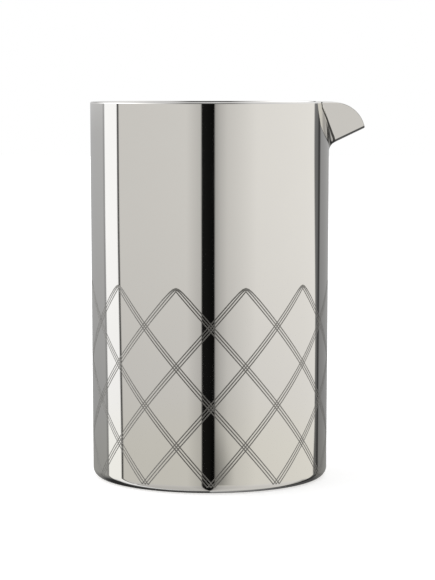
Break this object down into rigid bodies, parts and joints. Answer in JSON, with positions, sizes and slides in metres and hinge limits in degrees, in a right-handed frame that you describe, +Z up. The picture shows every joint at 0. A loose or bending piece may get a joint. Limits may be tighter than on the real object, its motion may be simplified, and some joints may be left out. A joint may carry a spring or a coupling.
{
  "type": "mixing tin",
  "caption": "Tall double-walled steel mixing tin with a pouring spout pressed out at the rim, for stirring drinks over ice and pouring them off.",
  "frame": {"origin": "centre of the flat base, on the axis of the tin", "axes": "+Z up along the tin's axis, +X towards the tip of the spout, +Y to the left of a person looking along the spout"},
  "size_m": [0.1058, 0.092, 0.145],
  "materials": {
    "mirror_steel": "mirror-polished stainless steel with etched satin lines",
    "satin_steel": "satin stainless steel with fine turned brushing"
  },
  "bodies": {
    "root": {"outer_shell": "mirror_steel", "spout": "mirror_steel", "inner_cup": "satin_steel", "base_plate": "satin_steel"}
  },
  "joints": []
}
